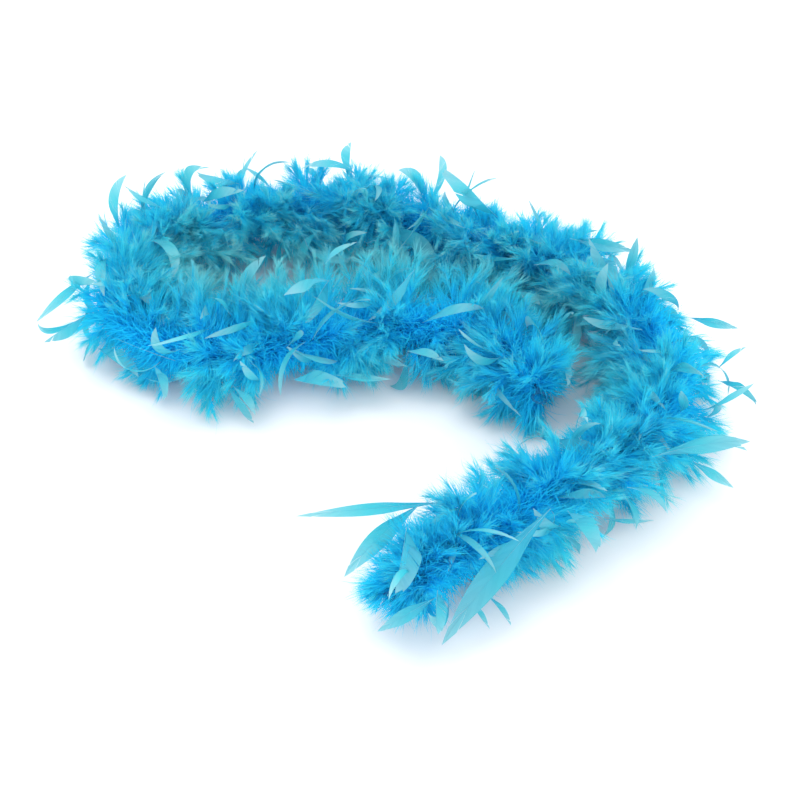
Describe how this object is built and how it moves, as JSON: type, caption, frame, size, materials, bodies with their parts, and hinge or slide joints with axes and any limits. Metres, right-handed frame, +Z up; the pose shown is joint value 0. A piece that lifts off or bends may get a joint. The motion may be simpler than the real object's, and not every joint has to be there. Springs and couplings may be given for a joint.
{
  "type": "feather boa",
  "caption": "Soft turquoise feather boa on a twisted two-strand cord, with down, vane feathers, an end knot and a hanging loop, lying in a loose curve.",
  "frame": {"origin": "middle of the bounding box, on the surface the boa lies on", "axes": "+Z up, +X along the longest side of the lie, +Y away from the open end"},
  "size_m": [0.8147, 0.6808, 0.1196],
  "materials": {
    "down": "dyed fluffy down barbs",
    "vanes": "dyed translucent feather vanes and quills",
    "cord": "twisted dyed cotton string",
    "knots": "knotted dyed cotton string"
  },
  "bodies": {
    "stretch_01": {"down_01": "down", "strand_a_01": "cord", "strand_b_01": "cord", "feathers_01": "vanes", "end_knot": "knots", "end_tails": "cord"},
    "stretch_02": {"down_02": "down", "strand_a_02": "cord", "strand_b_02": "cord", "feathers_02": "vanes"},
    "stretch_03": {"down_03": "down", "strand_a_03": "cord", "strand_b_03": "cord", "feathers_03": "vanes"},
    "stretch_04": {"down_04": "down", "strand_a_04": "cord", "strand_b_04": "cord", "feathers_04": "vanes"},
    "stretch_05": {"down_05": "down", "strand_a_05": "cord", "strand_b_05": "cord", "feathers_05": "vanes"},
    "stretch_06": {"down_06": "down", "strand_a_06": "cord", "strand_b_06": "cord", "feathers_06": "vanes"},
    "stretch_07": {"down_07": "down", "strand_a_07": "cord", "strand_b_07": "cord", "feathers_07": "vanes"},
    "stretch_08": {"down_08": "down", "strand_a_08": "cord", "strand_b_08": "cord", "feathers_08": "vanes"},
    "stretch_09": {"down_09": "down", "strand_a_09": "cord", "strand_b_09": "cord", "feathers_09": "vanes"},
    "stretch_10": {"down_10": "down", "strand_a_10": "cord", "strand_b_10": "cord", "feathers_10": "vanes"},
    "stretch_11": {"down_11": "down", "strand_a_11": "cord", "strand_b_11": "cord", "feathers_11": "vanes"},
    "stretch_12": {"down_12": "down", "strand_a_12": "cord", "strand_b_12": "cord", "feathers_12": "vanes", "loop_knot": "knots", "hanging_loop": "cord"}
  },
  "joints": [
    {"name": "swing_01", "type": "hinge", "parent": "stretch_02", "child": "stretch_01", "pos_m": [0.1492, -0.20765, 0.05], "axis": [0, 0, 1], "range_deg": [-35, 35]},
    {"name": "lift_02", "type": "hinge", "parent": "stretch_03", "child": "stretch_02", "pos_m": [0.2674, -0.1153, 0.05], "axis": [-0.6157, 0.788, 0], "range_deg": [0, 35]},
    {"name": "swing_03", "type": "hinge", "parent": "stretch_04", "child": "stretch_03", "pos_m": [0.30858, 0.01939, 0.05], "axis": [0, 0, 1], "range_deg": [-5, 40]},
    {"name": "lift_04", "type": "hinge", "parent": "stretch_05", "child": "stretch_04", "pos_m": [0.22282, 0.13961, 0.05], "axis": [-0.6018, -0.7986, 0], "range_deg": [0, 30]},
    {"name": "swing_05", "type": "hinge", "parent": "stretch_06", "child": "stretch_05", "pos_m": [0.09578, 0.219, 0.05], "axis": [0, 0, 1], "range_deg": [-5, 30]},
    {"name": "lift_06", "type": "hinge", "parent": "stretch_07", "child": "stretch_06", "pos_m": [-0.04694, 0.26264, 0.05], "axis": [-0.1219, -0.9925, 0], "range_deg": [0, 30]},
    {"name": "swing_07", "type": "hinge", "parent": "stretch_07", "child": "stretch_08", "pos_m": [-0.19507, 0.24837, 0.05], "axis": [0, 0, 1], "range_deg": [-40, 2]},
    {"name": "lift_08", "type": "hinge", "parent": "stretch_08", "child": "stretch_09", "pos_m": [-0.29091, 0.14192, 0.05], "axis": [-0.9781, 0.2079, 0], "range_deg": [0, 25]},
    {"name": "swing_09", "type": "hinge", "parent": "stretch_09", "child": "stretch_10", "pos_m": [-0.22157, 0.02421, 0.05], "axis": [0, 0, 1], "range_deg": [-6, 2]},
    {"name": "lift_10", "type": "hinge", "parent": "stretch_10", "child": "stretch_11", "pos_m": [-0.0748, 0.0319, 0.05], "axis": [0.3907, -0.9205, 0], "range_deg": [0, 30]},
    {"name": "swing_11", "type": "hinge", "parent": "stretch_11", "child": "stretch_12", "pos_m": [0.07204, 0.05254, 0.05], "axis": [0, 0, 1], "range_deg": [-20, 15]}
  ]
}
